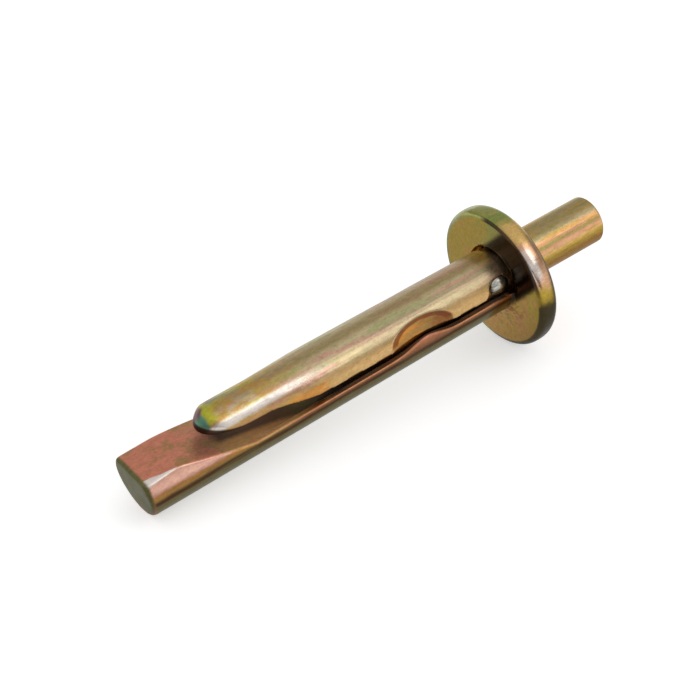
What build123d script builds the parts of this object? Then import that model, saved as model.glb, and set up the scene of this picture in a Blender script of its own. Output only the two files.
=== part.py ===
from build123d import *
import os
from math import asin, atan2, cos, degrees, hypot, radians, sin, sqrt, tan

# A hammer-set expansion bolt for a 6 mm drilled hole: a grooved anchor body with a round
# head, and the expansion nail that lies in its groove. All lengths are in millimetres.
# Both pieces are drawn with the shank along X, the tip at x = 0 and the nail on the +Z
# side, and are laid down on the head's rim and the tip at the end.

# Anchor body
shank_length = 38.0
shank_diameter = 5.64
tip_rounding = 0.4
tip_end_lean = 4.5
head_diameter = 13.4
head_thickness = 2.1
underside_rounding = 0.55
topside_rounding = 0.9

# Flat, ramp and rims cut into the shank; heights are above the shank's axis
flat_height = 1.8
flat_length = 3.5
ramp_angle = 12.8
rim_height = 0.18
rim_rounding = 0.12

# Shallow corner facets pressed beside the flat, at the tip
facet_length = 3.4
facet_width = 1.05
facet_depth = 0.14

# Expansion nail
wire_diameter = 4.5
wire_clearance = 0.1
nail_height_at_head = 0.85
nail_tilt = 0.93
pin_stand_out = 9.5
pin_chamfer = 0.2

# Pressed crown of the nail, heights above the wire's axis
crown_radius = 2.9
wing_edge_height = 0.08
wing_end_gap = 2.3
notch_height = 1.29
notch_run_in = 1.3
crown_end_gap = 0.35

# Distances from the underside of the head towards the tip
nose_reach = 31.5
tongue_reach = 24.5
wing_reach = 20.7
wing_run_in = 5.0
tongue_underside = 0.6
nose_length = 3.2
nose_height = 0.65

# Crimp that holds the nail: a scallop in each wing over a raised wave in each rim
crimp_distance = 9.95
crimp_length = 8.6
crimp_depth = 0.7
crimp_lean = 18.0
crimp_top_angle = 39.0
rim_wave_distance = 9.55
rim_wave_height = 0.62
rim_wave_length = 7.6

# Relief under the head that the crown's end looks into
relief_clearance = 0.2
relief_depth = 0.6

shank_radius = shank_diameter / 2
head_radius = head_diameter / 2
wire_radius = wire_diameter / 2
groove_radius = wire_radius + wire_clearance
groove_bottom = nail_height_at_head - groove_radius
crown_axis_height = wire_radius - crown_radius
overall_length = shank_length + head_thickness
pin_end = head_thickness + pin_stand_out
margin = 2 * head_diameter

# The nail's own frame: origin where its axis meets the head's underside plane
nail_frame = Pos(shank_length, 0, nail_height_at_head) * Rot(0, nail_tilt, 0)


def side_cutter(outline):
    """Closed outline in the X-Z plane, carried right across the bolt."""
    return extrude(Plane.XZ * make_face(outline), amount=head_diameter, both=True)


def turned_blank():
    """Shank and head in one turned shape, with the head's rim rounded and the tip sheared."""
    profile = make_face(
        Polyline(
            (-shank_radius, 0),
            (-shank_radius, shank_radius),
            (shank_length, shank_radius),
            (shank_length, head_radius),
            (overall_length, head_radius),
            (overall_length, 0),
            close=True,
        )
    )
    for corner, rounding in (
        ((shank_length, head_radius), underside_rounding),
        ((overall_length, head_radius), topside_rounding),
    ):
        profile = fillet(profile.vertices().sort_by_distance(corner)[0], rounding)
    blank = revolve(Plane.XZ * profile, axis=Axis.X)
    beyond_tip = Box(margin, margin, margin, align=(Align.MAX, Align.CENTER, Align.CENTER))
    blank -= Pos(0, 0, flat_height) * Rot(0, -tip_end_lean, 0) * beyond_tip
    end_face = blank.faces().sort_by(Axis.X)[0]
    return fillet(end_face.edges(), tip_rounding)


def ramp_x(height):
    """Where the ramp's plane is at a height above the shank's axis."""
    return flat_length + (flat_height - height) / tan(radians(ramp_angle))


def above_the_rims():
    """What is cut away over the whole width: above the flat, the ramp and both rims."""
    wave_centre = shank_length - rim_wave_distance
    wave_start = wave_centre - rim_wave_length / 2
    wave_end = wave_centre + rim_wave_length / 2
    wave_top = rim_height + rim_wave_height
    outline = (
        Polyline(
            (shank_length, rim_height),
            (shank_length, margin),
            (-margin, margin),
            (-margin, flat_height),
            (flat_length, flat_height),
            (ramp_x(rim_height), rim_height),
            (wave_start, rim_height),
        )
        + Spline(
            (wave_start, rim_height),
            (wave_centre, wave_top),
            (wave_end, rim_height),
            tangents=((1, 0), (1, 0)),
        )
        + Line((wave_end, rim_height), (shank_length, rim_height))
    )
    return side_cutter(outline)


def groove():
    """Round-bottomed channel for the nail, whose floor climbs the ramp towards the tip."""
    channel = Pos(0, nail_height_at_head) * Circle(groove_radius)
    channel += Pos(0, nail_height_at_head) * Rectangle(
        2 * groove_radius, margin, align=(Align.CENTER, Align.MIN)
    )
    trough = extrude(Plane.YZ * channel, amount=shank_length)
    floor = Polyline(
        (flat_length, flat_height),
        (ramp_x(groove_bottom), groove_bottom),
        (ramp_x(groove_bottom), -margin),
        (overall_length, -margin),
        (overall_length, 2 * margin),
        (flat_length, 2 * margin),
        close=True,
    )
    return trough & side_cutter(floor)


def head_hole():
    """Hole for the wire, along the nail's own axis, with the relief for the crown's end."""
    hole = Plane.YZ * Circle(groove_radius)
    hole = nail_frame * extrude(hole, amount=2 * head_thickness, both=True)
    crown_height = nail_height_at_head + crown_axis_height
    relief = Pos(0, crown_height) * Circle(crown_radius + relief_clearance)
    relief -= Pos(0, rim_height) * Rectangle(margin, margin, align=(Align.CENTER, Align.MAX))
    return hole + Pos(shank_length, 0, 0) * extrude(Plane.YZ * relief, amount=relief_depth)


def tip_facet():
    """Cutter for the shallow pressed facet on the +Y corner of the flat."""
    flat_edge = sqrt(shank_radius**2 - flat_height**2)
    inner = Vector(0, flat_edge - facet_width, flat_height)
    outer = Vector(0, flat_edge, flat_height - facet_depth)
    runout = Vector(facet_length, flat_edge, flat_height)
    normal = (runout - inner).cross(outer - inner)
    if normal.Z < 0:
        normal = -normal
    plane = Plane(origin=inner, x_dir=runout - inner, z_dir=normal)
    return plane * Box(margin, margin, margin, align=(Align.CENTER, Align.CENTER, Align.MIN))


def outer_rim_edges(body):
    """The long edges where the ramp and the rims meet the round outside of the shank."""
    picked = []
    for edge in body.edges():
        middle = edge.position_at(0.5)
        along = abs(edge.tangent_at(0.5).X) > 0.5
        outside = abs(hypot(middle.Y, middle.Z) - shank_radius) < 0.01
        if along and outside and flat_length < middle.X < shank_length:
            picked.append(edge)
    return picked


def anchor_body():
    """Head, grooved shank and wedge ramp, formed as one piece."""
    body = turned_blank() - above_the_rims()
    body = fillet(outer_rim_edges(body), rim_rounding)
    body -= groove() + head_hole()
    facet = tip_facet() & Pos(facet_length, 0, 0) * Box(
        2 * facet_length, margin, margin, align=(Align.MAX, Align.CENTER, Align.CENTER)
    )
    facet &= Box(margin, margin, margin, align=(Align.CENTER, Align.MIN, Align.CENTER))
    return body - facet - mirror(facet, Plane.XZ)


def crown():
    """Pressed upper part of the nail: a wide round back with a wing along each side."""
    wing_front = -wing_reach
    run_in = wing_front - wing_run_in
    notch_start = -wing_end_gap - notch_run_in / 2
    notch_end = -wing_end_gap + notch_run_in / 2
    outline = (
        Polyline(
            (-crown_end_gap, notch_height),
            (-crown_end_gap, margin),
            (run_in, margin),
            (run_in, tongue_underside),
        )
        + Spline(
            (run_in, tongue_underside),
            (wing_front, wing_edge_height),
            tangents=((1, 0), (1, 0)),
        )
        + Polyline(
            (wing_front, wing_edge_height),
            (notch_start, wing_edge_height),
        )
        + Spline(
            (notch_start, wing_edge_height),
            (notch_end, notch_height),
            tangents=((1, 0.3), (1, 0)),
        )
        + Line((notch_end, notch_height), (-crown_end_gap, notch_height))
    )
    section = Plane.YZ * (Pos(0, crown_axis_height) * Circle(crown_radius))
    wide = Pos(wing_front, 0, 0) * section
    narrow = Pos(run_in, 0, 0) * (Plane.YZ * Circle(wire_radius))
    back = extrude(wide, amount=wing_reach) + loft([narrow, wide], ruled=True)
    return back & side_cutter(outline)


def wire():
    """Round wire with its thin front tongue and the long taper under it."""
    rod = extrude(Plane.YZ * Circle(wire_radius), amount=nose_reach, both=True)
    rod &= Pos(-nose_reach, 0, 0) * Box(
        nose_reach + pin_end, margin, margin, align=(Align.MIN, Align.CENTER, Align.CENTER)
    )
    end_face = rod.faces().sort_by(Axis.X)[-1]
    rod = chamfer(end_face.edges(), pin_chamfer)
    taper_angle = ramp_angle - nail_tilt
    taper_end = (tongue_underside + wire_radius) / tan(radians(taper_angle)) - tongue_reach
    underside = Polyline(
        (-2 * nose_reach, tongue_underside),
        (-tongue_reach, tongue_underside),
        (taper_end, -wire_radius),
        (taper_end, -margin),
        (-2 * nose_reach, -margin),
        close=True,
    )
    return rod - side_cutter(underside)


def nose_envelope():
    """Domed front of the nose, merging into the wire's sides at the tongue's lower edge."""
    half_width = sqrt(wire_radius**2 - nose_height**2)
    section = Ellipse(nose_length, half_width)
    section &= Rectangle(margin, margin, align=(Align.CENTER, Align.MIN))
    dome = revolve(Plane.XZ * section, axis=Axis.X)
    behind = Box(margin + nose_reach, margin, margin, align=(Align.MIN, Align.CENTER, Align.CENTER))
    return Pos(nose_length - nose_reach, 0, nose_height) * (dome + behind)


def crimp_scallop():
    """Round-faced cutter that presses the hollow into the +Y wing."""
    face_radius = crimp_length**2 / (8 * crimp_depth)
    top = radians(crimp_top_angle)
    lean = radians(crimp_lean)
    deep = Vector(
        -crimp_distance,
        crown_radius * sin(top),
        crown_axis_height + crown_radius * cos(top),
    )
    outward = Vector(0, cos(lean), sin(lean))
    along = Vector(0, -sin(lean), cos(lean))
    axis = Plane(origin=deep + outward * face_radius, x_dir=(1, 0, 0), z_dir=along)
    return axis * Cylinder(face_radius, 2 * head_diameter)


def expansion_nail():
    """Wire, crown and nose in one piece, in the nail's own frame."""
    nail = (crown() + wire()) & nose_envelope()
    scallop = crimp_scallop()
    return nail - scallop - mirror(scallop, Plane.XZ)


def resting_lean():
    """Angle of the shank to the floor when the head's rim and the tip both touch it."""
    lean = radians(tip_end_lean)
    tip_drop = shank_radius - tip_rounding
    tip_x = (flat_height + tip_drop) * tan(lean) + tip_rounding / cos(lean)
    run = shank_length + underside_rounding - tip_x
    drop = head_radius - underside_rounding - tip_drop
    extra = asin((underside_rounding - tip_rounding) / hypot(run, drop))
    return degrees(atan2(drop, run) + extra)


def lay_down(pieces):
    """Turn the pieces onto the floor, with the origin under the middle of the box."""
    turned = [Rot(0, -resting_lean(), 0) * piece for piece in pieces]
    boxes = [piece.bounding_box() for piece in turned]
    middle_x = (min(box.min.X for box in boxes) + max(box.max.X for box in boxes)) / 2
    floor = min(box.min.Z for box in boxes)
    placing = Pos(-middle_x, 0, -floor)
    return placing, [placing * piece for piece in turned]


body = anchor_body()
nail = nail_frame * expansion_nail()
placing, (body, nail) = lay_down([body, nail])

os.makedirs("parts", exist_ok=True)
export_step(body, "parts/anchor_body.step")
export_step(nail, "parts/expansion_nail.step")
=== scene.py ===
import math

import bmesh
import bpy
from mathutils import Matrix, Vector


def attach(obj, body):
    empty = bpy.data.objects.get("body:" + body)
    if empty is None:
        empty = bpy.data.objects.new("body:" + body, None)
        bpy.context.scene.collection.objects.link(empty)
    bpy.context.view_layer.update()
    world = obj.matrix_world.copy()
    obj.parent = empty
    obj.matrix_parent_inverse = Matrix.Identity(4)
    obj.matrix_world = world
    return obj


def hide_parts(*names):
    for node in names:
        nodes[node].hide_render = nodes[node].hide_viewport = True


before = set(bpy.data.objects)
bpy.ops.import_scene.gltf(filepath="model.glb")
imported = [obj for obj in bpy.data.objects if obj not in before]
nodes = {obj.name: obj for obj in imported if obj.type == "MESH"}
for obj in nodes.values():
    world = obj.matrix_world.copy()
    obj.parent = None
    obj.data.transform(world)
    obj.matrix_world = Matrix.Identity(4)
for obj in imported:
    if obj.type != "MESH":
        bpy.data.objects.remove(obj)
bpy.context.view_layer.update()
print("frame loaded:", ", ".join(sorted(nodes)))

# the bolt's own axes, in mm: x runs from the tip along the shank, z points to the nail's side
boltAxes = {
    "origin": (-0.0246321, 0.0, 0.0027325),
    "lean": math.radians(-5.859),
    "unit": 0.001,
}


def boltToFrame():
    place = Matrix.Translation(boltAxes["origin"])
    turn = Matrix.Rotation(boltAxes["lean"], 4, "Y")
    return place @ turn @ Matrix.Scale(boltAxes["unit"], 4)


# node helpers

def screenColour(red, green, blue):
    # colours are written as they look on a screen, 0 to 255
    channels = []
    for value in (red, green, blue):
        value = value / 255
        channels.append(value / 12.92 if value <= 0.04045 else ((value + 0.055) / 1.055) ** 2.4)
    return tuple(channels)


def fill(tree, value, socket):
    if isinstance(value, bpy.types.NodeSocket):
        tree.links.new(value, socket)
    elif isinstance(value, tuple) and len(value) == 3 and socket.type == "RGBA":
        socket.default_value = (*value, 1.0)
    else:
        socket.default_value = value


def calc(tree, job, a, b=0.0, c=0.0, limit=False):
    step = tree.nodes.new("ShaderNodeMath")
    step.operation = job
    step.use_clamp = limit
    for value, socket in zip((a, b, c), step.inputs):
        fill(tree, value, socket)
    return step.outputs[0]


def times(tree, *parts):
    total = parts[0]
    for part in parts[1:]:
        total = calc(tree, "MULTIPLY", total, part)
    return total


def stray(tree, value, noise, swing):
    # the value, moved by the noise to either side
    return calc(tree, "MULTIPLY_ADD", calc(tree, "SUBTRACT", noise, 0.5), swing, value)


def fade(tree, value, start, end, first=0.0, last=1.0):
    step = tree.nodes.new("ShaderNodeMapRange")
    step.interpolation_type = "SMOOTHSTEP"
    if start > end:
        start, end, first, last = end, start, last, first
    for name, number in (
        ("Value", value),
        ("From Min", start),
        ("From Max", end),
        ("To Min", first),
        ("To Max", last),
    ):
        fill(tree, number, step.inputs[name])
    return step.outputs[0]


def band(tree, value, low, high, soft):
    rise = fade(tree, value, low - soft, low + soft)
    fall = fade(tree, value, high - soft, high + soft, 1.0, 0.0)
    return calc(tree, "MULTIPLY", rise, fall)


def zone(tree, value, limits):
    # two limits fade in from the first to the second, a third makes it a band that soft
    return (band if len(limits) == 3 else fade)(tree, value, *limits)


def mixColour(tree, amount, a, b, how="MIX"):
    step = tree.nodes.new("ShaderNodeMix")
    step.data_type = "RGBA"
    step.blend_type = how
    fill(tree, amount, step.inputs[0])
    fill(tree, a, step.inputs[6])
    fill(tree, b, step.inputs[7])
    return step.outputs[2]


def mixLevel(tree, amount, a, b):
    rest = calc(tree, "SUBTRACT", 1.0, amount)
    return calc(tree, "ADD", times(tree, amount, b), times(tree, rest, a))


def paint(tree, colour, film, layers):
    # each layer, from a film colour, a mask and a strength, lies over the ones before
    for name, mask, strength in layers:
        amount = calc(tree, "MULTIPLY", mask, strength, limit=True)
        colour = mixColour(tree, amount, colour, film[name])
    return colour


def boltSpace(tree, height=0.0):
    # position in the bolt's own axes, and the angle up from its side and the reach from its
    # axis, or from one that lies higher
    place = tree.nodes.new("ShaderNodeTexCoord")
    turn = tree.nodes.new("ShaderNodeMapping")
    turn.vector_type = "TEXTURE"
    turn.inputs["Location"].default_value = boltAxes["origin"]
    turn.inputs["Rotation"].default_value = (0.0, boltAxes["lean"], 0.0)
    turn.inputs["Scale"].default_value = (boltAxes["unit"],) * 3
    tree.links.new(place.outputs["Object"], turn.inputs["Vector"])
    parts = tree.nodes.new("ShaderNodeSeparateXYZ")
    tree.links.new(turn.outputs[0], parts.inputs[0])
    x, y, z = parts.outputs
    side = calc(tree, "ABSOLUTE", y)
    up = calc(tree, "SUBTRACT", z, height)
    angle = calc(tree, "DEGREES", calc(tree, "ARCTAN2", up, side))
    reach = distance(tree, side, up)
    return {
        "point": turn.outputs[0], "x": x, "y": y, "z": z,
        "side": side, "angle": angle, "reach": reach,
    }


def distance(tree, a, b):
    return calc(tree, "SQRT", calc(tree, "ADD", times(tree, a, a), times(tree, b, b)))


def grain(tree, space, perMm, seed, detail=3.0, rough=0.55):
    # noise with its own fineness along, across and up the bolt
    stretch = tree.nodes.new("ShaderNodeMapping")
    stretch.vector_type = "POINT"
    stretch.inputs["Scale"].default_value = perMm
    stretch.inputs["Location"].default_value = (seed * 7.31, seed * 3.17, seed * 5.83)
    tree.links.new(space["point"], stretch.inputs["Vector"])
    noise = tree.nodes.new("ShaderNodeTexNoise")
    noise.inputs["Scale"].default_value = 1.0
    noise.inputs["Detail"].default_value = detail
    noise.inputs["Roughness"].default_value = rough
    tree.links.new(stretch.outputs[0], noise.inputs["Vector"])
    return noise.outputs["Fac"]


def grains(tree, space, settings):
    return {name: grain(tree, space, *values) for name, values in settings.items()}


# steel and its yellow zinc film, with mottled crystals and drawn marks

plating = {
    "roughness": 0.30,
    "roughnessSwing": 0.20,
    "mottleSwing": 0.68,
    "speckleSwing": 0.44,
    "bumps": {"dent": 0.00005, "drawn": 0.000008, "fine": 0.000006},
    # fineness, seed, detail and roughness of each noise
    "grains": {
        "mottle": ((1.6, 3.4, 3.4), 21.0, 3.0, 0.7),
        "speckle": ((6.0, 8.5, 8.5), 22.0, 2.0, 0.6),
        "cloud": ((0.35, 0.9, 0.9), 3.0, 4.0),
        "dent": ((0.28, 0.5, 0.5), 13.0, 1.0),
        "drawn": ((0.12, 4.5, 4.5), 11.0, 3.0),
        "fine": ((4.0, 5.0, 5.0), 12.0, 2.0),
    },
}


def startSkin(name):
    skin = bpy.data.materials.new(name)
    skin.use_nodes = True
    skin.node_tree.nodes.clear()
    return skin, skin.node_tree


def steelShader(tree, colour, roughness):
    metal = tree.nodes.new("ShaderNodeBsdfPrincipled")
    metal.inputs["Metallic"].default_value = 1.0
    fill(tree, colour, metal.inputs["Base Color"])
    fill(tree, roughness, metal.inputs["Roughness"])
    out = tree.nodes.new("ShaderNodeOutputMaterial")
    tree.links.new(metal.outputs[0], out.inputs[0])
    return metal


def platedShader(tree, space, colour, rougher=0.0, chalk=None):
    noise = grains(tree, space, plating["grains"])
    shade = stray(tree, 1.0, noise["mottle"], plating["mottleSwing"])
    shade = stray(tree, shade, noise["speckle"], plating["speckleSwing"])
    grey = tree.nodes.new("ShaderNodeCombineColor")
    for socket in grey.inputs[:3]:
        fill(tree, shade, socket)
    colour = mixColour(tree, 1.0, colour, grey.outputs[0], "MULTIPLY")
    rough = stray(tree, plating["roughness"], noise["cloud"], plating["roughnessSwing"])
    metal = steelShader(tree, colour, calc(tree, "ADD", rough, rougher))
    if chalk is not None:
        fill(tree, calc(tree, "SUBTRACT", 1.0, chalk), metal.inputs["Metallic"])
    last = None
    for name, depth in plating["bumps"].items():
        bump = tree.nodes.new("ShaderNodeBump")
        bump.inputs["Strength"].default_value = 1.0
        bump.inputs["Distance"].default_value = depth
        fill(tree, noise[name], bump.inputs["Height"])
        if last is not None:
            tree.links.new(last, bump.inputs["Normal"])
        last = bump.outputs[0]
    tree.links.new(last, metal.inputs["Normal"])


# pieces: the CAD solids with the rolled edges that pressing and plating leave

def settled(piece):
    bpy.context.view_layer.update()
    shape = bpy.data.meshes.new_from_object(
        piece.evaluated_get(bpy.context.evaluated_depsgraph_get())
    )
    piece.modifiers.clear()
    piece.data = shape


def addSmoothing(piece, rounds):
    step = piece.modifiers.new("smoothing", "SMOOTH")
    step.factor = 0.5  # each round moves a corner half way to the middle of its neighbours
    step.iterations = rounds
    return step


def shareAlong(x, start, end):
    return min(max((x - start) / (end - start), 0.0), 1.0)


def formPiece(nodeName, bodyName, form, skin):
    piece = nodes[nodeName].copy()
    piece.data = nodes[nodeName].data.copy()
    piece.name = form["name"]
    bpy.context.scene.collection.objects.link(piece)
    piece.parent = None
    for key in list(piece.keys()):
        del piece[key]
    # worked on in mm along the bolt's own axes, so straight edges stay straight
    piece.data.transform(boltToFrame().inverted())
    grid = piece.modifiers.new("grid", "REMESH")
    grid.mode = "VOXEL"
    grid.voxel_size = form["voxel"]
    grid.use_smooth_shade = True
    addSmoothing(piece, form["rounds"])
    settled(piece)
    thin = piece.modifiers.new("thin", "DECIMATE")
    triangles = 2 * len(piece.data.polygons)
    thin.ratio = min(1.0, form["faces"] / triangles)
    settled(piece)
    # more rounding where the real bolt is rubbed and rolled
    softer = piece.vertex_groups.new(name="softer")
    for corner in piece.data.vertices:
        share = max(
            strength * shareAlong(corner.co.x, start, end)
            for start, end, strength in form["softer"]
        )
        if share > 0:
            softer.add([corner.index], share, "REPLACE")
    addSmoothing(piece, form["softRounds"]).vertex_group = softer.name
    settled(piece)
    piece.vertex_groups.clear()
    shape = piece.data
    shape.transform(boltToFrame())
    shape.name = form["name"]
    shape.materials.clear()
    shape.materials.append(skin)
    shape.shade_smooth()
    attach(piece, bodyName)
    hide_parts(nodeName)
    print(form["name"], len(shape.polygons), "faces")


# anchor body

anchorBody = {
    "name": "formedAnchorBody",
    "slot": "anchor_body",
    "voxel": 0.065,
    "rounds": 5,
    "faces": 190000,
    "softer": ((37.6, 38.0, 1.0), (16.0, 12.0, 0.35)),  # from x, to x and strength
    "softRounds": 100,
    "deckRougher": 0.10,
    "headSmoother": 0.10,
    "deckChalk": 0.55,
    "grooveChalk": 0.6,
    "film": {
        "sand": screenColour(196, 160, 134),
        "rose": screenColour(222, 150, 124),
        "gold": screenColour(224, 164, 94),
        "umber": screenColour(112, 72, 44),
        "olive": screenColour(146, 134, 88),
        "speckOlive": screenColour(166, 138, 84),
        "salmon": screenColour(222, 144, 116),
        "paintedBlushHighlight": screenColour(244, 190, 168),
        "paintedHighlightCream": screenColour(252, 242, 234),
        "deckBrown": screenColour(216, 160, 104),
        "deckOlive": screenColour(190, 164, 98),
        "deckShade": screenColour(70, 48, 38),
        "paintedGapShade": screenColour(92, 72, 60),
        "lipRose": screenColour(190, 122, 100),
        "headGold": screenColour(184, 156, 66),
        "headGreen": screenColour(140, 156, 82),
        "headRose": screenColour(206, 142, 98),
        "headPlum": screenColour(52, 38, 36),
        "spotRed": screenColour(140, 60, 46),
        "spotGreen": screenColour(66, 78, 46),
        "rimGold": screenColour(224, 186, 112),
        "rimPink": screenColour(214, 164, 136),
        "rimPaintedShade": screenColour(92, 82, 56),
        "endGreen": screenColour(118, 116, 74),
    },
    "grains": {
        "drift": ((0.10, 0.35, 0.35), 1.0, 3.0),
        "patch": ((0.5, 0.6, 0.6), 2.0, 4.0),
        "speck": ((2.6, 2.6, 2.6), 4.0, 3.0),
        "streak": ((0.16, 2.2, 2.2), 9.0, 4.0),
        "grit": ((4.2, 4.2, 4.2), 14.0, 2.0),
        "blot": ((1.5, 1.5, 1.5), 15.0, 3.0),
    },
    # where each tint lies: along x, up, to the side and by reach in mm, or by angle in degrees
    "marks": {
        "bandSwing": 14.0,
        "umberBand": (-10.0, -1.5, 3.0),
        "goldUp": (-1.5, 4.0),
        "roseUp": (9.0, 16.0),
        "sandUp": (18.0, 28.0),
        "oliveStreaks": (0.54, 0.68),
        "blushUp": (10.0, 16.0),
        "blushAlong": (12.0, 7.0),
        "deckAlong": (18.0, 13.0),
        "deckReach": (2.81, 2.74),
        "patchPerMm": 0.035,
        "patchEdge": (0.62, 0.76),
        "deckSpecks": (0.52, 0.66),
        "brownPatches": 3.0,
        "brownAlong": (8.4, 10.0),
        "gritSpots": (0.50, 0.60),
        "gritAlong": (5.0, 9.0),
        "nailShadowSide": (1.55, 0.85),
        "nailShadowAlong": (7.0, 8.2),
        "deckChalkAlong": (5.0, 8.0),
        "wedgeNarrowing": -0.29,
        "wedgeLeast": 0.02,
        "wedgeAngle": 39.0,
        "wedgeSwing": 14.0,
        "wedgeWidth": (-9.0, 8.0, 2.5),
        "wedgeSide": (-1.0, -1.3),
        "wedgeAlong": (3.4, 3.0),
        "grooveReach": (2.76, 2.66),
        "grooveAlong": (16.5, 19.0),
        "grooveEnd": (37.6, 37.2),
        "lipReach": (2.74, 2.90, 0.03),
        "lipAlong": (12.0, 15.0),
        "lipUp": (-4.0, 0.0),
        "headAlong": (37.4, 37.95),
        "rosePatches": (0.48, 0.66),
        "roseLow": (-5.0, -45.0),
        "greenPatches": (0.40, 0.56),
        "greenHigh": (50.0, 75.0),
        "mirrorTurn": (0.745, 0.667),
        "mirrorWidth": (-2.8, 2.9, 0.3),
        "mirrorUpper": (0.2, 1.2),
        "spotReach": (2.6, 4.4, 0.5),
        "spotLow": (-4.0, -16.0),
        "redSpots": (0.50, 0.66),
        "greenSpots": (0.46, 0.32),
        "rimReach": (6.05, 6.25),
        "rimSwing": 26.0,
        "rimGoldLow": (2.0, 10.0),
        "rimPinkUp": (14.0, 26.0),
        "rimShineUp": (30.0, 48.0, 8.0),
        "rimShineAlong": (39.1, 38.7),
        "rimGoldUp": (54.0, 66.0),
        "rimGreenUp": (74.0, 86.0),
        "rimGreenPatches": 3.0,
        "rimGreenFar": (1.2, 2.4),
        "rimTopAlong": (39.1, 39.8),
        "rimTopUp": (74.0, 58.0),
        "rimLineReach": (6.10, 6.46, 0.05),
        "rimLineUp": (10.0, 26.0),
        "rimLineSide": (1.4, 0.4),
        "rimLineAlong": (38.36, 38.24),
        "endAlong": (0.55, 0.25),
    },
}


def bodySkin():
    skin, tree = startSkin("chromatedBody")
    space = boltSpace(tree)
    x, y, z, angle, reach = (space[key] for key in ("x", "y", "z", "angle", "reach"))
    film, marks = anchorBody["film"], anchorBody["marks"]
    noise = grains(tree, space, anchorBody["grains"])
    patch, streak = noise["patch"], noise["streak"]

    def at(value, name):
        return zone(tree, value, marks[name])

    # lengthwise bands round the shank
    wander = stray(tree, angle, noise["drift"], marks["bandSwing"])
    # the pale pink blush on the side near the tip is a pink tint and also a painted highlight
    paintedBlushHighlight = times(tree, at(wander, "blushUp"), at(x, "blushAlong"))
    colour = paint(tree, film["olive"], film, (
        # the dark umber band low on the side is painted shade, standing for the shaded floor
        # mirrored there
        ("umber", at(wander, "umberBand"), 0.95),
        ("gold", at(wander, "goldUp"), 1.0),
        ("rose", at(wander, "roseUp"), 1.0),
        ("sand", at(wander, "sandUp"), 0.7),
        ("olive", at(streak, "oliveStreaks"), 0.5),
        ("paintedBlushHighlight", paintedBlushHighlight, 0.9),
    ))

    # flat and ramp at the tip
    deck = times(tree, at(x, "deckAlong"), at(reach, "deckReach"))
    patchEdge = calc(tree, "MULTIPLY_ADD", x, marks["patchPerMm"], patch)
    brownEdge = calc(tree, "MULTIPLY_ADD", patch, marks["brownPatches"], x)
    gritty = times(tree, at(noise["grit"], "gritSpots"), at(x, "gritAlong"))
    underNail = times(tree, at(space["side"], "nailShadowSide"), at(x, "nailShadowAlong"))
    deckColour = paint(tree, film["salmon"], film, (
        ("speckOlive", at(patchEdge, "patchEdge"), 0.7),
        ("rose", at(noise["speck"], "deckSpecks"), 0.5),
        ("deckBrown", at(brownEdge, "brownAlong"), 0.9),
        ("deckOlive", gritty, 0.7),
        ("deckShade", underNail, 0.85),
    ))
    colour = mixColour(tree, deck, colour, deckColour)

    # painted highlight: a pale wedge along the near corner of the flat, which narrows away from
    # the tip
    width = calc(tree, "MULTIPLY_ADD", x, marks["wedgeNarrowing"], 1.0)
    width = calc(tree, "MAXIMUM", width, marks["wedgeLeast"])
    across = calc(tree, "DIVIDE", calc(tree, "SUBTRACT", angle, marks["wedgeAngle"]), width)
    across = stray(tree, across, streak, marks["wedgeSwing"])
    wedge = times(tree, at(across, "wedgeWidth"), at(y, "wedgeSide"), at(x, "wedgeAlong"))

    # painted shade in the groove and on the top of the rims beside the nail
    groove = times(tree, at(reach, "grooveReach"), at(x, "grooveAlong"), at(x, "grooveEnd"))
    lip = times(tree, at(reach, "lipReach"), at(x, "lipAlong"), at(angle, "lipUp"))
    colour = paint(tree, colour, film, (
        ("paintedHighlightCream", wedge, 0.95),
        ("paintedGapShade", groove, 1.0),
        ("lipRose", lip, 0.7),
    ))

    # underside of the head; the plum-brown patch is a painted reflection of the shank
    along, down = marks["mirrorTurn"]
    mirrored = calc(tree, "MULTIPLY_ADD", y, along, times(tree, z, down))
    upper = calc(tree, "MULTIPLY_ADD", y, -down, times(tree, z, along))
    mirror = times(tree, at(mirrored, "mirrorWidth"), at(upper, "mirrorUpper"))
    below = times(tree, at(reach, "spotReach"), at(angle, "spotLow"))
    under = paint(tree, film["headGold"], film, (
        ("headRose", at(patch, "rosePatches"), 0.45),
        ("headRose", at(angle, "roseLow"), 0.35),
        ("headGreen", times(tree, at(angle, "greenHigh"), at(patch, "greenPatches")), 0.6),
        ("headPlum", mirror, 0.95),
        ("spotRed", times(tree, below, at(noise["blot"], "redSpots")), 0.6),
        ("spotGreen", times(tree, below, at(noise["blot"], "greenSpots")), 0.5),
    ))

    # bands round the rim, with a painted highlight across it and painted shade at its lower side
    # and top edge, and a painted dark line of shade inside its lower edge
    swing = stray(tree, angle, patch, marks["rimSwing"])
    farSide = calc(tree, "MULTIPLY_ADD", patch, marks["rimGreenPatches"], y)
    rim = paint(tree, film["rimPaintedShade"], film, (
        ("headGold", at(swing, "rimGoldLow"), 1.0),
        ("rimPink", at(swing, "rimPinkUp"), 0.85),
        ("paintedHighlightCream", times(tree, at(swing, "rimShineUp"), at(x, "rimShineAlong")), 0.9),
        ("rimGold", at(swing, "rimGoldUp"), 0.9),
        ("headGreen", at(swing, "rimGreenUp"), 0.9),
        ("headGreen", at(farSide, "rimGreenFar"), 0.8),
        ("rimPaintedShade", times(tree, at(x, "rimTopAlong"), at(angle, "rimTopUp")), 0.8),
    ))
    rimLine = times(
        tree, at(reach, "rimLineReach"), at(angle, "rimLineUp"),
        at(y, "rimLineSide"), at(x, "rimLineAlong"),
    )
    headColour = mixColour(tree, at(reach, "rimReach"), under, rim)
    headColour = paint(tree, headColour, film, (("headPlum", rimLine, 0.9),))
    head = at(x, "headAlong")
    colour = mixColour(tree, head, colour, headColour)

    # sheared end of the tip
    colour = mixColour(tree, at(x, "endAlong"), colour, film["endGreen"])

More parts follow.
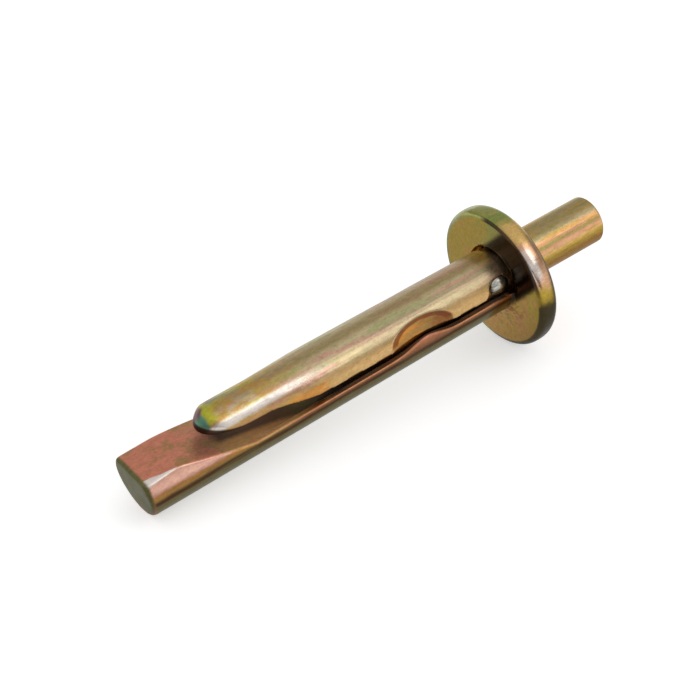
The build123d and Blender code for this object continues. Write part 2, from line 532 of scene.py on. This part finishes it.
    rougher = calc(
        tree, "SUBTRACT",
        calc(tree, "MULTIPLY", deck, anchorBody["deckRougher"]),
        calc(tree, "MULTIPLY", head, anchorBody["headSmoother"]),
    )
    chalk = calc(
        tree, "MAXIMUM",
        times(tree, deck, at(x, "deckChalkAlong"), anchorBody["deckChalk"]),
        times(tree, groove, anchorBody["grooveChalk"]),
    )
    platedShader(tree, space, colour, rougher, chalk)
    return skin


# expansion nail

expansionNail = {
    "name": "formedExpansionNail",
    "slot": "expansion_nail",
    "voxel": 0.05,
    "rounds": 6,
    "faces": 190000,
    "softer": ((12.0, 9.0, 1.0),),
    "softRounds": 110,
    "angleAxis": 0.85,  # height of the axis that angles and reaches are taken from
    "crownAxis": 0.817,
    "crownSlope": 0.01623,
    "film": {
        "khaki": screenColour(210, 190, 148),
        "rose": screenColour(218, 168, 146),
        "green": screenColour(176, 182, 124),
        "olive": screenColour(162, 138, 86),
        "gold": screenColour(220, 170, 104),
        "ochre": screenColour(204, 158, 72),
        "teal": screenColour(92, 150, 136),
        "shade": screenColour(66, 44, 36),
        "lipGold": screenColour(190, 146, 96),
        "paintedShadeKhaki": screenColour(178, 156, 128),
        "bareSteel": screenColour(186, 180, 168),
        "lime": screenColour(200, 200, 64),
        "plum": screenColour(142, 98, 106),
        "paintedHighlightCream": screenColour(250, 238, 228),
        "orange": screenColour(220, 148, 70),
        "scallopPaintedShade": screenColour(120, 66, 44),
        "brown": screenColour(122, 84, 56),
        "pinRose": screenColour(232, 174, 132),
        "pinYellow": screenColour(222, 180, 78),
        "pinGreen": screenColour(186, 184, 96),
    },
    "grains": {
        "streak": ((0.14, 1.7, 1.7), 5.0, 4.0),
        "second": ((0.12, 1.5, 1.5), 6.0, 4.0),
        "patch": ((0.5, 0.9, 0.9), 7.0, 4.0),
        "speck": ((2.4, 2.8, 2.8), 8.0, 3.0),
        "threads": ((0.16, 2.6, 2.6), 16.0, 3.0),
    },
    "marks": {
        "roseStreaks": (0.47, 0.58),
        "greenStreaks": (0.50, 0.62),
        "goldLow": (40.0, 26.0),
        "oliveTop": (70.0, 86.0),
        "oliveSpecks": (0.54, 0.70),
        "dimAlong": (20.0, 26.0),
        "dimUp": (30.0, 62.0, 6.0),
        "noseAlong": (18.0, 11.0),
        "ochrePatches": (0.42, 0.52),
        "limeStreaks": (0.52, 0.60),
        "farSwing": 1.2,
        "farLimeAlong": (16.0, 9.0),
        "farLimeSide": (0.1, 0.6),
        "farTealAlong": (11.5, 9.0),
        "farTealSide": (0.5, 0.95, 0.15),
        "farPlumAlong": (10.4, 8.2),
        "farPlumSide": (0.75, 1.1),
        "tipLimeAlong": (8.6, 7.7),
        "tipLimeUp": (58.0, 66.0),
        "creamAlong": (20.0, 13.0),
        "creamUp": (41.0, 56.0, 4.0),
        "lipUp": (12.0, 38.0, 4.0),
        "tipTealAlong": (7.45, 7.15),
        "tipTealUp": (50.0, 60.0),
        "tipPlumAlong": (7.9, 7.4),
        "tipPlumSide": (0.0, 0.35),
        "shadeSlope": 0.22,
        "shadeLow": (4.26, 4.06),
        "shadeAlong": (12.8, 11.6),
        "wingAlong": (14.2, 18.0, 0.6),
        "wingLow": (30.0, 22.0),
        "scallopAlong": (23.6, 32.6, 0.2),
        "scallopLow": (52.0, 46.0),
        "scallopReach": (2.86, 2.82),
        "scallopBrown": (26.6, 30.0),
        "scallopStreaks": (0.48, 0.56),
        "edgeReach": (2.70, 2.865, 0.02),
        "edgeUp": (1.2, 1.6),
        "bareAlong": (36.0, 37.5, 0.08),
        "bareUp": (0.2, 2.1, 0.1),
        "bareReach": (2.40, 2.32),
        "pinAlong": (39.6, 40.4),
        "pinRoseUp": (12.0, 52.0, 8.0),
        "pinThreads": (0.50, 0.58),
        "pinOliveUp": (50.0, 76.0),
        "pinYellowUp": (-8.0, 14.0, 4.0),
        "pinOrangeLow": (-3.0, -10.0),
        "pinStreaks": (0.52, 0.60),
    },
}


def nailSkin():
    skin, tree = startSkin("chromatedNail")
    space = boltSpace(tree, expansionNail["angleAxis"])
    x, y, z, angle, reach = (space[key] for key in ("x", "y", "z", "angle", "reach"))
    film, marks = expansionNail["film"], expansionNail["marks"]
    noise = grains(tree, space, expansionNail["grains"])
    streak, second, patch = noise["streak"], noise["second"], noise["patch"]

    def at(value, name):
        return zone(tree, value, marks[name])

    def both(one, oneMark, other, otherMark):
        return times(tree, at(one, oneMark), at(other, otherMark))

    # lengthwise streaks of the crown, then the rainbow of the pressed nose, with painted highlight
    # and painted shade where they lie
    nose = at(x, "noseAlong")
    farSide = stray(tree, y, patch, marks["farSwing"])
    lowLine = calc(tree, "MULTIPLY_ADD", x, marks["shadeSlope"], z)
    colour = paint(tree, film["khaki"], film, (
        ("rose", at(streak, "roseStreaks"), 0.9),
        ("green", at(second, "greenStreaks"), 0.65),
        ("gold", at(angle, "goldLow"), 0.7),
        ("olive", at(angle, "oliveTop"), 0.6),
        ("olive", at(noise["speck"], "oliveSpecks"), 0.3),
        # the dim khaki on the rear crown is painted shade that tones down the highlight there
        ("paintedShadeKhaki", both(x, "dimAlong", angle, "dimUp"), 0.6),
        ("ochre", times(tree, nose, at(patch, "ochrePatches")), 0.75),
        ("lime", times(tree, nose, at(second, "limeStreaks")), 0.45),
        ("lime", both(x, "farLimeAlong", farSide, "farLimeSide"), 0.55),
        ("teal", both(x, "farTealAlong", farSide, "farTealSide"), 0.6),
        ("plum", both(x, "farPlumAlong", farSide, "farPlumSide"), 0.85),
        ("lime", both(x, "tipLimeAlong", angle, "tipLimeUp"), 0.85),
        # the pale cream band along the nose is a painted highlight
        ("paintedHighlightCream", both(x, "creamAlong", angle, "creamUp"), 0.97),
        ("lipGold", times(tree, nose, at(angle, "lipUp")), 0.85),
        ("teal", both(x, "tipTealAlong", angle, "tipTealUp"), 0.9),
        ("plum", both(x, "tipPlumAlong", farSide, "tipPlumSide"), 0.9),
        # painted shadow on the lower side of the nose
        ("shade", both(lowLine, "shadeLow", x, "shadeAlong"), 0.95),
        ("orange", both(x, "wingAlong", angle, "wingLow"), 0.75),
    ))

    # scallop of the crimp, measured from the crown's own sloping axis
    lift = calc(tree, "SUBTRACT", z, expansionNail["crownAxis"])
    lift = calc(tree, "MULTIPLY_ADD", x, expansionNail["crownSlope"], lift)
    cut = distance(tree, y, lift)
    around = both(x, "scallopAlong", angle, "scallopLow")
    inside = paint(tree, film["orange"], film, (
        ("brown", at(x, "scallopBrown"), 0.8),
        ("olive", at(streak, "scallopStreaks"), 0.6),
    ))
    colour = mixColour(tree, times(tree, around, at(cut, "scallopReach")), colour, inside)
    edge = times(tree, around, at(cut, "edgeReach"), at(z, "edgeUp"))

    # bare wire in the notch beside the head
    bare = times(tree, at(x, "bareAlong"), at(z, "bareUp"), at(reach, "bareReach"))
    # the dark line along the scallop's step is painted shade
    colour = paint(tree, colour, film, (("scallopPaintedShade", edge, 0.75), ("bareSteel", bare, 1.0)))

    # the pin behind the head
    pinColour = paint(tree, film["khaki"], film, (
        ("pinRose", at(angle, "pinRoseUp"), 0.95),
        ("pinGreen", at(noise["threads"], "pinThreads"), 0.7),
        ("olive", at(angle, "pinOliveUp"), 0.7),
        ("pinYellow", at(angle, "pinYellowUp"), 0.85),
        ("orange", at(angle, "pinOrangeLow"), 0.8),
        ("ochre", at(streak, "pinStreaks"), 0.7),
    ))
    colour = mixColour(tree, at(x, "pinAlong"), colour, pinColour)
    platedShader(tree, space, colour)
    return skin


# bright side of the wire, seen where the wings stop short of the head

notchBead = {
    "name": "wireBead",
    "slot": "expansion_nail",
    "place": (36.98, 2.06, 1.22),
    "size": (1.16, 0.62, 0.90),
    "segments": 48,
    "rings": 32,
    # below this height it keeps to the wire's outline, clear of the rim wave, then widens
    "limitHeight": 0.95,
    "limitSide": 2.27,
    "limitSlope": 1.6,
    "roughness": 0.24,
    "film": {
        "steel": screenColour(214, 212, 200),
        "shadow": screenColour(96, 84, 70),
    },
    "speckGrain": ((5.0, 6.0, 6.0), 31.0, 3.0),
    "marks": {
        "specks": (0.52, 0.64),
        "frontShadow": (36.2, 35.95),
        "headShadow": (37.2, 37.6),
    },
}


def beadSkin():
    skin, tree = startSkin("bareSteel")
    space = boltSpace(tree)
    film, marks = notchBead["film"], notchBead["marks"]
    speck = grain(tree, space, *notchBead["speckGrain"])
    colour = paint(tree, film["steel"], film, (
        ("shadow", zone(tree, speck, marks["specks"]), 0.35),
        ("shadow", zone(tree, space["x"], marks["frontShadow"]), 0.9),
        ("shadow", zone(tree, space["x"], marks["headShadow"]), 0.8),
    ))
    steelShader(tree, colour, notchBead["roughness"])
    return skin


def addNotchBeads(skin):
    for side, label in ((-1, "Near"), (1, "Far")):
        work = bmesh.new()
        bmesh.ops.create_uvsphere(
            work, u_segments=notchBead["segments"], v_segments=notchBead["rings"], radius=1.0
        )
        bmesh.ops.scale(work, vec=notchBead["size"], verts=work.verts)
        bmesh.ops.translate(work, vec=notchBead["place"], verts=work.verts)
        for corner in work.verts:
            above = max(corner.co.z - notchBead["limitHeight"], 0.0)
            limit = notchBead["limitSide"] + above * notchBead["limitSlope"]
            corner.co.y = min(corner.co.y, limit)
        if side < 0:
            bmesh.ops.scale(work, vec=(1, -1, 1), verts=work.verts)
            bmesh.ops.reverse_faces(work, faces=work.faces)
        name = notchBead["name"] + label
        shape = bpy.data.meshes.new(name)
        work.to_mesh(shape)
        work.free()
        shape.transform(boltToFrame())
        shape.materials.append(skin)
        shape.shade_smooth()
        bead = bpy.data.objects.new(name, shape)
        bpy.context.scene.collection.objects.link(bead)
        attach(bead, "nail")
    print("wire beads added")


formPiece("anchor_body", "body", anchorBody, bodySkin())
formPiece("expansion_nail", "nail", expansionNail, nailSkin())
addNotchBeads(beadSkin())


# camera at the photograph's angle

view = {
    "place": (-0.0712922, -0.0927381, 0.0944817),
    "right": (0.797025, -0.603759, -0.015008),
    "up": (0.376347, 0.477075, 0.794206),
    "lens": 88.11,
    "sensor": 36.0,
    "clip": (0.005, 20.0),
}


def placeCamera():
    eye = bpy.data.objects.new("camera", bpy.data.cameras.new("camera"))
    bpy.context.scene.collection.objects.link(eye)
    right = Vector(view["right"]).normalized()
    up = Vector(view["up"]).normalized()
    back = right.cross(up)
    turn = Matrix((right, up, back)).transposed().to_4x4()
    eye.matrix_world = Matrix.Translation(view["place"]) @ turn
    eye.data.sensor_width = view["sensor"]
    eye.data.lens = view["lens"]
    eye.data.clip_start, eye.data.clip_end = view["clip"]
    bpy.context.scene.camera = eye
    print("camera placed")


placeCamera()


# floor and studio light

studio = {
    "floorSize": 3.0,
    "floorColour": (0.85, 0.85, 0.85),
    "floorLift": 0.48,
    # what the metal mirrors of the floor: dim beside the bolt, pale further out
    "mirrorNear": 0.40,
    "mirrorBehind": 0.58,
    "mirrorFar": 0.95,
    "mirrorFront": (-0.045, -0.006),
    "mirrorBack": (0.010, 0.050),
    "mirrorTurns": (-0.004, 0.003),
    # what it mirrors of the sky, by direction
    "skyForLight": 0.74,
    "horizon": 1.0,
    "middle": 0.52,
    "overhead": 0.66,
    "lowerSky": (0.15, 0.42),
    "upperSky": (0.55, 0.85),
    "farHigh": 0.55,
    "farSky": (0.1, 0.6),
    "darkSide": 0.08,
    "farSide": 0.42,
    "flagDepth": (-0.25, 0.45),
    "flagEdge": (-0.12, 0.26),
    "flagTop": (0.10, 0.40),
    "stripAim": (0.35, -0.49, 0.80),
    "stripSpread": (0.90, 0.98),
    "stripLevel": 0.16,
    "keyTurn": -54.0,
    "keyHeight": 50.0,
    "keyDistance": 0.30,
    "keySize": 0.12,
    "keyPower": 0.050,
}


def seenDirectly(tree, path):
    # 1 on the rays that show the background itself
    return calc(
        tree, "ADD", path.outputs["Is Camera Ray"], path.outputs["Is Transmission Ray"], limit=True
    )


def mirroredFloor(tree):
    place = tree.nodes.new("ShaderNodeTexCoord")
    parts = tree.nodes.new("ShaderNodeSeparateXYZ")
    tree.links.new(place.outputs["Object"], parts.inputs[0])
    north = parts.outputs[1]
    near, behindIt, far = (studio[key] for key in ("mirrorNear", "mirrorBehind", "mirrorFar"))
    front = fade(tree, north, *studio["mirrorFront"], far, near)
    behind = fade(tree, north, *studio["mirrorBack"], behindIt, far)
    return mixLevel(tree, zone(tree, north, studio["mirrorTurns"]), front, behind)


def layFloor():
    half = studio["floorSize"] / 2
    sheet = bpy.data.meshes.new("floor")
    corners = [(-half, -half, 0), (half, -half, 0), (half, half, 0), (-half, half, 0)]
    sheet.from_pydata(corners, [], [(0, 1, 2, 3)])
    floor = bpy.data.objects.new("floor", sheet)
    bpy.context.scene.collection.objects.link(floor)
    skin, tree = startSkin("paleFloor")
    path = tree.nodes.new("ShaderNodeLightPath")
    matte = tree.nodes.new("ShaderNodeBsdfDiffuse")
    fill(tree, studio["floorColour"], matte.inputs["Color"])
    lift = tree.nodes.new("ShaderNodeEmission")
    shown = times(tree, seenDirectly(tree, path), studio["floorLift"])
    fill(tree, shown, lift.inputs["Strength"])
    both = tree.nodes.new("ShaderNodeAddShader")
    tree.links.new(matte.outputs[0], both.inputs[0])
    tree.links.new(lift.outputs[0], both.inputs[1])
    mirrored = tree.nodes.new("ShaderNodeEmission")
    fill(tree, mirroredFloor(tree), mirrored.inputs["Strength"])
    pick = tree.nodes.new("ShaderNodeMixShader")
    tree.links.new(path.outputs["Is Glossy Ray"], pick.inputs[0])
    tree.links.new(both.outputs[0], pick.inputs[1])
    tree.links.new(mirrored.outputs[0], pick.inputs[2])
    out = tree.nodes.new("ShaderNodeOutputMaterial")
    tree.links.new(pick.outputs[0], out.inputs[0])
    sheet.materials.append(skin)


def mirroredSky(tree, direction):
    parts = tree.nodes.new("ShaderNodeSeparateXYZ")
    tree.links.new(direction, parts.inputs[0])
    east, north, height = parts.outputs
    rise = studio["overhead"] - studio["middle"]
    low = fade(tree, height, *studio["lowerSky"], studio["horizon"], studio["middle"])
    high = fade(tree, height, *studio["upperSky"], 0.0, rise)
    sky = calc(tree, "ADD", low, high)
    sky = mixLevel(tree, zone(tree, north, studio["farSky"]), sky, studio["farHigh"])
    # a low flag stands on the left, dark in front and dimmer behind
    flag = fade(tree, north, *studio["flagDepth"], studio["darkSide"], studio["farSide"])
    besideFlag = zone(tree, east, studio["flagEdge"])
    aboveFlag = zone(tree, height, studio["flagTop"])
    sky = mixLevel(tree, calc(tree, "MAXIMUM", besideFlag, aboveFlag), flag, sky)
    # a soft strip gives the highlight along the nail's crown
    aim = tree.nodes.new("ShaderNodeVectorMath")
    aim.operation = "DOT_PRODUCT"
    tree.links.new(direction, aim.inputs[0])
    aim.inputs[1].default_value = Vector(studio["stripAim"]).normalized()
    strip = zone(tree, aim.outputs["Value"], studio["stripSpread"])
    return calc(tree, "ADD", sky, times(tree, strip, studio["stripLevel"]))


def lightSky():
    world = bpy.data.worlds.new("studio")
    world.use_nodes = True
    tree = world.node_tree
    tree.nodes.clear()
    place = tree.nodes.new("ShaderNodeTexCoord")
    sky = mirroredSky(tree, place.outputs["Generated"])
    path = tree.nodes.new("ShaderNodeLightPath")
    level = mixLevel(tree, path.outputs["Is Glossy Ray"], studio["skyForLight"], sky)
    level = calc(tree, "MAXIMUM", level, seenDirectly(tree, path))
    back = tree.nodes.new("ShaderNodeBackground")
    back.inputs["Color"].default_value = (1, 1, 1, 1)
    fill(tree, level, back.inputs["Strength"])
    out = tree.nodes.new("ShaderNodeOutputWorld")
    tree.links.new(back.outputs[0], out.inputs[0])
    bpy.context.scene.world = world


def hangKeyLight():
    lamp = bpy.data.lights.new("keySoftbox", "AREA")
    lamp.size = studio["keySize"]
    lamp.energy = studio["keyPower"]
    box = bpy.data.objects.new("keySoftbox", lamp)
    bpy.context.scene.collection.objects.link(box)
    turn = math.radians(studio["keyTurn"])
    height = math.radians(studio["keyHeight"])
    level = math.cos(height)
    away = Vector((math.cos(turn) * level, math.sin(turn) * level, math.sin(height)))
    box.location = away * studio["keyDistance"]
    box.rotation_euler = away.to_track_quat("Z", "Y").to_euler()


layFloor()
lightSky()
hangKeyLight()
print("studio lit")

bpy.context.scene.view_settings.view_transform = "Standard"
